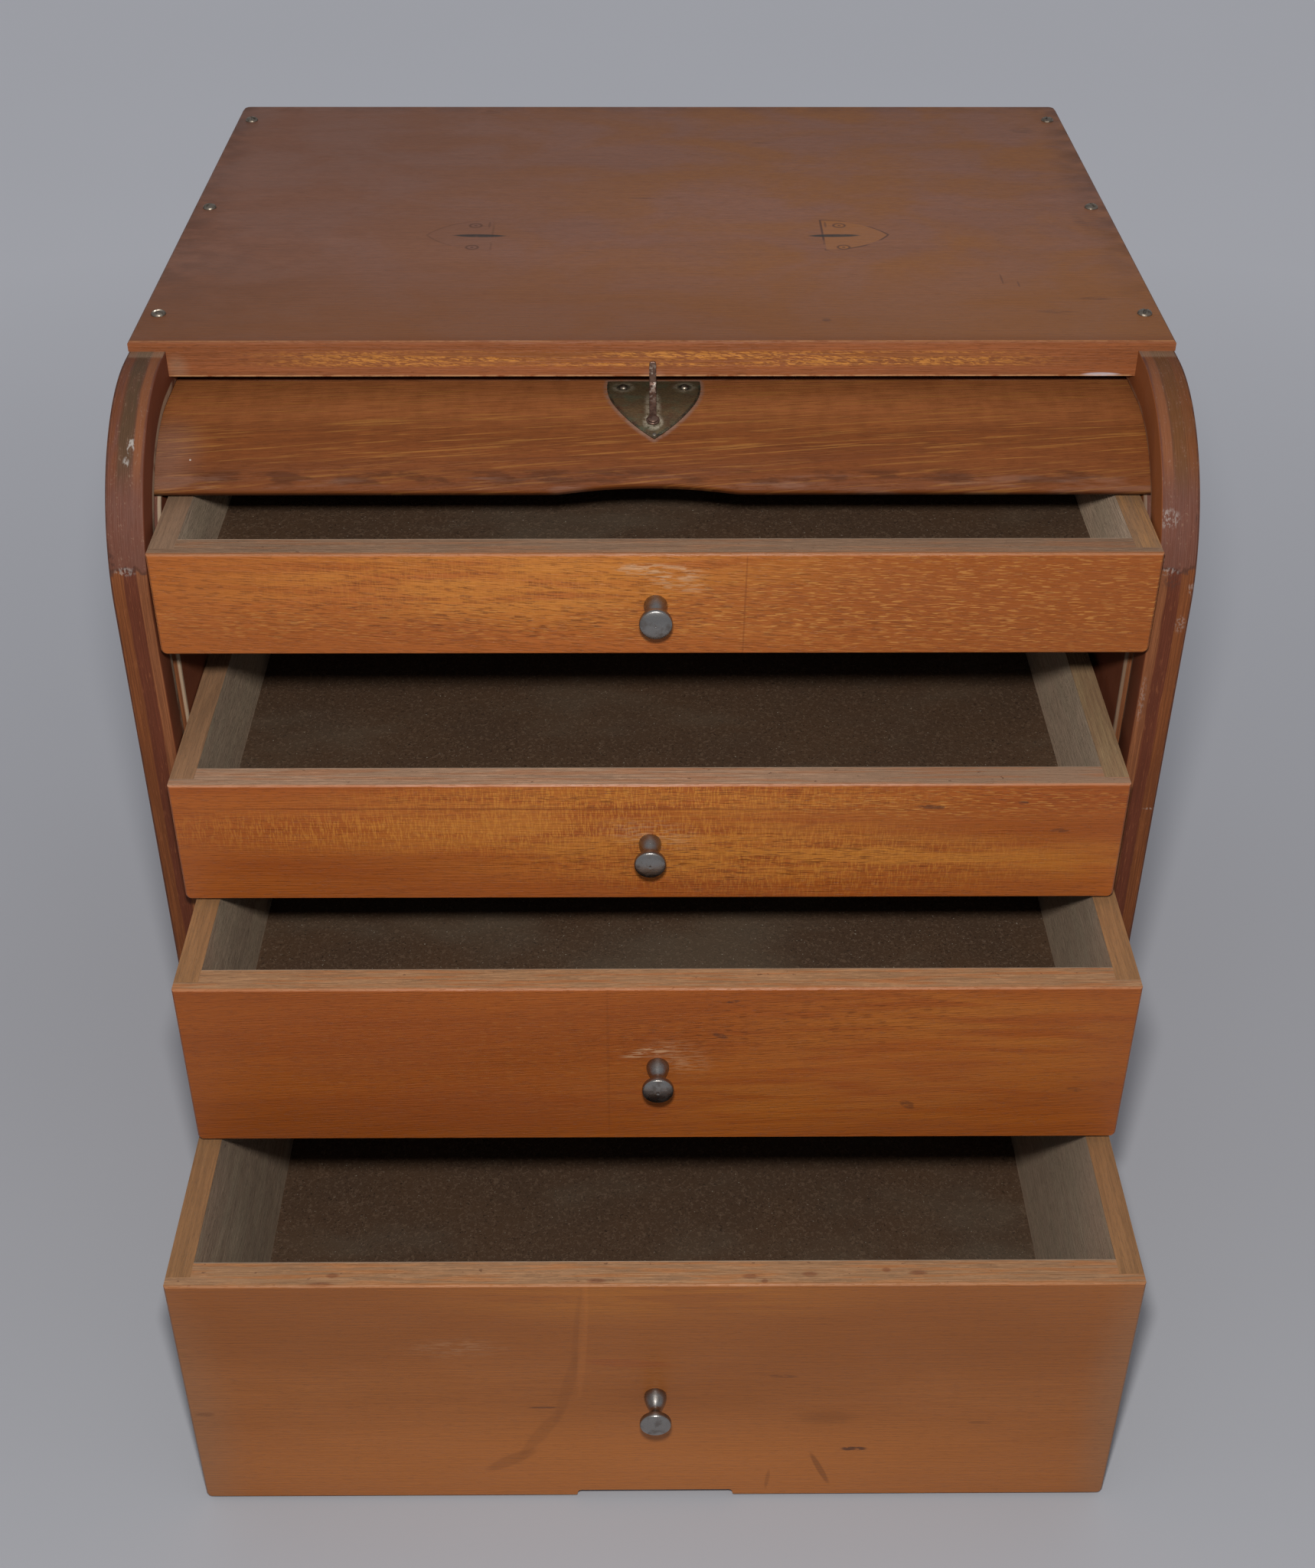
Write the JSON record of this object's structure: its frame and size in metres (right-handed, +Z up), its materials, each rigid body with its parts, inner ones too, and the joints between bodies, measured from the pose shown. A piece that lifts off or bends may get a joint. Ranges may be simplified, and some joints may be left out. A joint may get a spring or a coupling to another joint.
{
  "type": "roll front tool cabinet",
  "caption": "Wooden bench cabinet for small tools: drawers between plywood sides, closed by a roll front that runs in curved grooves.",
  "frame": {"origin": "on the floor, under the middle of the case", "axes": "+Z up, +Y to the back, +X to the right as seen from the front; drawers open towards -Y"},
  "size_m": [0.34, 0.4406, 0.3515],
  "materials": {
    "side_plywood": "varnished plywood",
    "top_wood": "varnished, worn",
    "thin_plywood": "raw",
    "runner_hardwood": "raw, waxed",
    "roll_front_wood": "varnished",
    "drawer_front_wood": "varnished",
    "drawer_box_wood": "raw",
    "hardboard": "raw hardboard",
    "knob_nickel": "satin nickel",
    "screw_steel": "tarnished",
    "shield_brass": "dark patina",
    "hook_steel": "worn"
  },
  "bodies": {
    "cabinet": {"case_side_left": "side_plywood", "case_side_right": "side_plywood", "top_board": "top_wood", "top_screws": "screw_steel", "base_board": "thin_plywood", "back_panel": "thin_plywood", "runner_left_drawer_4": "runner_hardwood", "runner_right_drawer_4": "runner_hardwood", "runner_left_drawer_3": "runner_hardwood", "runner_right_drawer_3": "runner_hardwood", "runner_left_drawer_2": "runner_hardwood", "runner_right_drawer_2": "runner_hardwood", "runner_left_open_bay": "runner_hardwood", "runner_right_open_bay": "runner_hardwood", "runner_left_drawer_1": "runner_hardwood", "runner_right_drawer_1": "runner_hardwood"},
    "drawer_4": {"drawer_4_front": "drawer_front_wood", "drawer_4_side_left": "drawer_box_wood", "drawer_4_side_right": "drawer_box_wood", "drawer_4_back": "drawer_box_wood", "drawer_4_bottom": "hardboard", "drawer_4_knob": "knob_nickel"},
    "drawer_3": {"drawer_3_front": "drawer_front_wood", "drawer_3_side_left": "drawer_box_wood", "drawer_3_side_right": "drawer_box_wood", "drawer_3_back": "drawer_box_wood", "drawer_3_bottom": "hardboard", "drawer_3_knob": "knob_nickel"},
    "drawer_2": {"drawer_2_front": "drawer_front_wood", "drawer_2_side_left": "drawer_box_wood", "drawer_2_side_right": "drawer_box_wood", "drawer_2_back": "drawer_box_wood", "drawer_2_bottom": "hardboard", "drawer_2_knob": "knob_nickel"},
    "drawer_1": {"drawer_1_front": "drawer_front_wood", "drawer_1_side_left": "drawer_box_wood", "drawer_1_side_right": "drawer_box_wood", "drawer_1_back": "drawer_box_wood", "drawer_1_bottom": "hardboard", "drawer_1_knob": "knob_nickel"},
    "roll_front": {"roll_lead": "roll_front_wood", "latch_shield": "shield_brass", "shield_rivets": "shield_brass", "hook_rivet": "hook_steel"},
    "roll_top": {"roll_top_run": "roll_front_wood"},
    "roll_bend": {"roll_back_bend": "roll_front_wood"},
    "roll_tail": {"roll_back_run": "roll_front_wood"},
    "latch_hook": {"latch_hook": "hook_steel"}
  },
  "joints": [
    {"name": "drawer_4_slide", "type": "slide", "parent": "cabinet", "child": "drawer_4", "axis": [0, -1, 0], "range_m": [-0.1576, 0.0424]},
    {"name": "drawer_3_slide", "type": "slide", "parent": "cabinet", "child": "drawer_3", "axis": [0, -1, 0], "range_m": [-0.0964, 0.1036]},
    {"name": "drawer_2_slide", "type": "slide", "parent": "cabinet", "child": "drawer_2", "axis": [0, -1, 0], "range_m": [-0.0539, 0.1461]},
    {"name": "drawer_1_slide", "type": "slide", "parent": "cabinet", "child": "drawer_1", "axis": [0, -1, 0], "range_m": [-0.0409, 0.1591]},
    {"name": "roll_top_slide", "type": "slide", "parent": "cabinet", "child": "roll_top", "axis": [0, -1, 0], "range_m": [0, 0.00208]},
    {"name": "roll_front_turn", "type": "hinge", "parent": "cabinet", "child": "roll_front", "pos_m": [0, -0.0945, 0.2885], "axis": [1, 0, 0], "range_deg": [0, 3.02]},
    {"name": "roll_bend_turn", "type": "hinge", "parent": "cabinet", "child": "roll_bend", "pos_m": [0, 0.111, 0.3005], "axis": [1, 0, 0], "range_deg": [0, 4.33]},
    {"name": "roll_tail_slide", "type": "slide", "parent": "cabinet", "child": "roll_tail", "axis": [0, 0, 1], "range_m": [0, 0.0021]},
    {"name": "latch_hook_turn", "type": "hinge", "parent": "roll_front", "child": "latch_hook", "pos_m": [0, -0.10509, 0.32945], "axis": [0, -0.2503, 0.9682], "continuous": true}
  ],
  "couplings": [
    {"joint": "roll_front_turn", "follows": "roll_top_slide", "rad_per_m": 25.126},
    {"joint": "roll_bend_turn", "follows": "roll_top_slide", "rad_per_m": 35.971},
    {"joint": "roll_tail_slide", "follows": "roll_top_slide", "ratio": 1}
  ]
}
